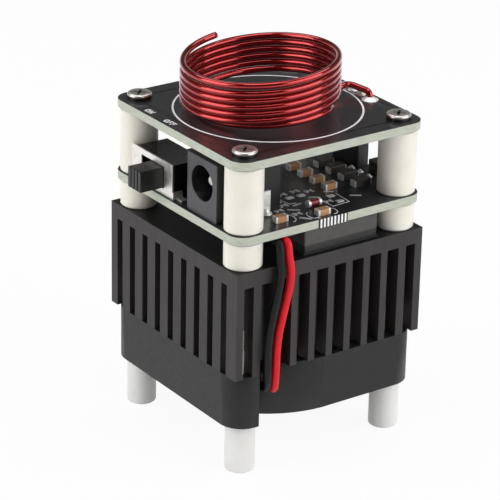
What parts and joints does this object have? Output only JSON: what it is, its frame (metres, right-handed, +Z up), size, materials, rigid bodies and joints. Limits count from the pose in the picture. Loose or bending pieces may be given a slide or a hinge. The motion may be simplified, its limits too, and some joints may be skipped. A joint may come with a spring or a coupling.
{
  "type": "desktop resonant transformer",
  "caption": "Fan-cooled stack of circuit boards on stand-off feet, with an open primary coil of enamelled wire on top, a slide switch and a round power socket.",
  "frame": {"origin": "middle of the pattern of four feet, on the plane that they stand on", "axes": "+Z up, along the stack and the coil; -X towards the side with the switch and the power socket; -Y towards the side where the fan leads hang down"},
  "size_m": [0.0443, 0.0423, 0.0703],
  "materials": {
    "board_black": "glossy black solder mask on glass fibre",
    "coil_enamel": "red enamelled copper wire, glossy",
    "tin": "bright tinned solder and pins",
    "nickel_screw": "nickel-plated, satin",
    "nylon": "ivory nylon, satin",
    "nylon_foot": "white nylon, satin",
    "heatsink": "dark anodised, matt",
    "fan_black": "black moulded plastic",
    "mould_black": "moulded epoxy, matt",
    "switch_black": "black moulded plastic, satin",
    "plate_steel": "tin-plated sheet steel",
    "ceramic": "tan ceramic",
    "red_glass": "clear red glass",
    "lead_red": "red insulation, satin",
    "lead_black": "black insulation, satin",
    "pad_grey": "grey silicone sheet",
    "bronze": "sintered bronze",
    "winding": "copper winding",
    "magnet": "bonded ferrite",
    "shaft_steel": "ground steel",
    "label_white": "blank paper label"
  },
  "bodies": {
    "base": {"top_board": "board_black", "control_board": "board_black", "primary_coil": "coil_enamel", "coil_joint": "tin", "secondary_socket": "tin", "heatsink": "heatsink", "fan_frame": "fan_black", "fan_bearing": "bronze", "fan_stator": "shaft_steel", "fan_windings": "winding", "fan_motor_board": "board_black", "fan_label": "label_white", "fan_lead_red": "lead_red", "fan_lead_black": "lead_black", "thermal_pad": "pad_grey", "power_tab": "plate_steel", "power_package": "mould_black", "power_legs": "tin", "switch_body": "switch_black", "switch_plate": "plate_steel", "switch_contacts": "tin", "jack_housing": "switch_black", "jack_pin": "plate_steel", "jack_spring": "plate_steel", "jack_terminals": "tin", "header_socket": "mould_black", "header_plug": "mould_black", "header_pins": "tin", "capacitor_bodies": "ceramic", "capacitor_ends": "tin", "glass_diode": "red_glass", "glass_diode_ends": "tin", "rectifier_bodies": "mould_black", "rectifier_leads": "tin", "choke_bead": "mould_black", "edge_contacts": "tin", "board_screw_1": "nickel_screw", "upper_spacer_1": "nylon", "lower_spacer_1": "nylon", "foot_1": "nylon_foot", "board_screw_2": "nickel_screw", "upper_spacer_2": "nylon", "lower_spacer_2": "nylon", "foot_2": "nylon_foot", "board_screw_3": "nickel_screw", "upper_spacer_3": "nylon", "lower_spacer_3": "nylon", "foot_3": "nylon_foot", "board_screw_4": "nickel_screw", "upper_spacer_4": "nylon", "lower_spacer_4": "nylon", "foot_4": "nylon_foot"},
    "switch_slider": {"switch_handle": "switch_black", "switch_wiper": "plate_steel"},
    "fan_wheel": {"fan_rotor": "fan_black", "fan_magnet": "magnet", "fan_shaft": "shaft_steel", "fan_clip": "nylon"}
  },
  "joints": [
    {"name": "switch_slide", "type": "slide", "parent": "base", "child": "switch_slider", "axis": [0, 1, 0], "range_m": [0, 0.003]},
    {"name": "fan_spin", "type": "hinge", "parent": "base", "child": "fan_wheel", "pos_m": [0, 0, 0.0135], "axis": [0, 0, 1], "continuous": true}
  ]
}
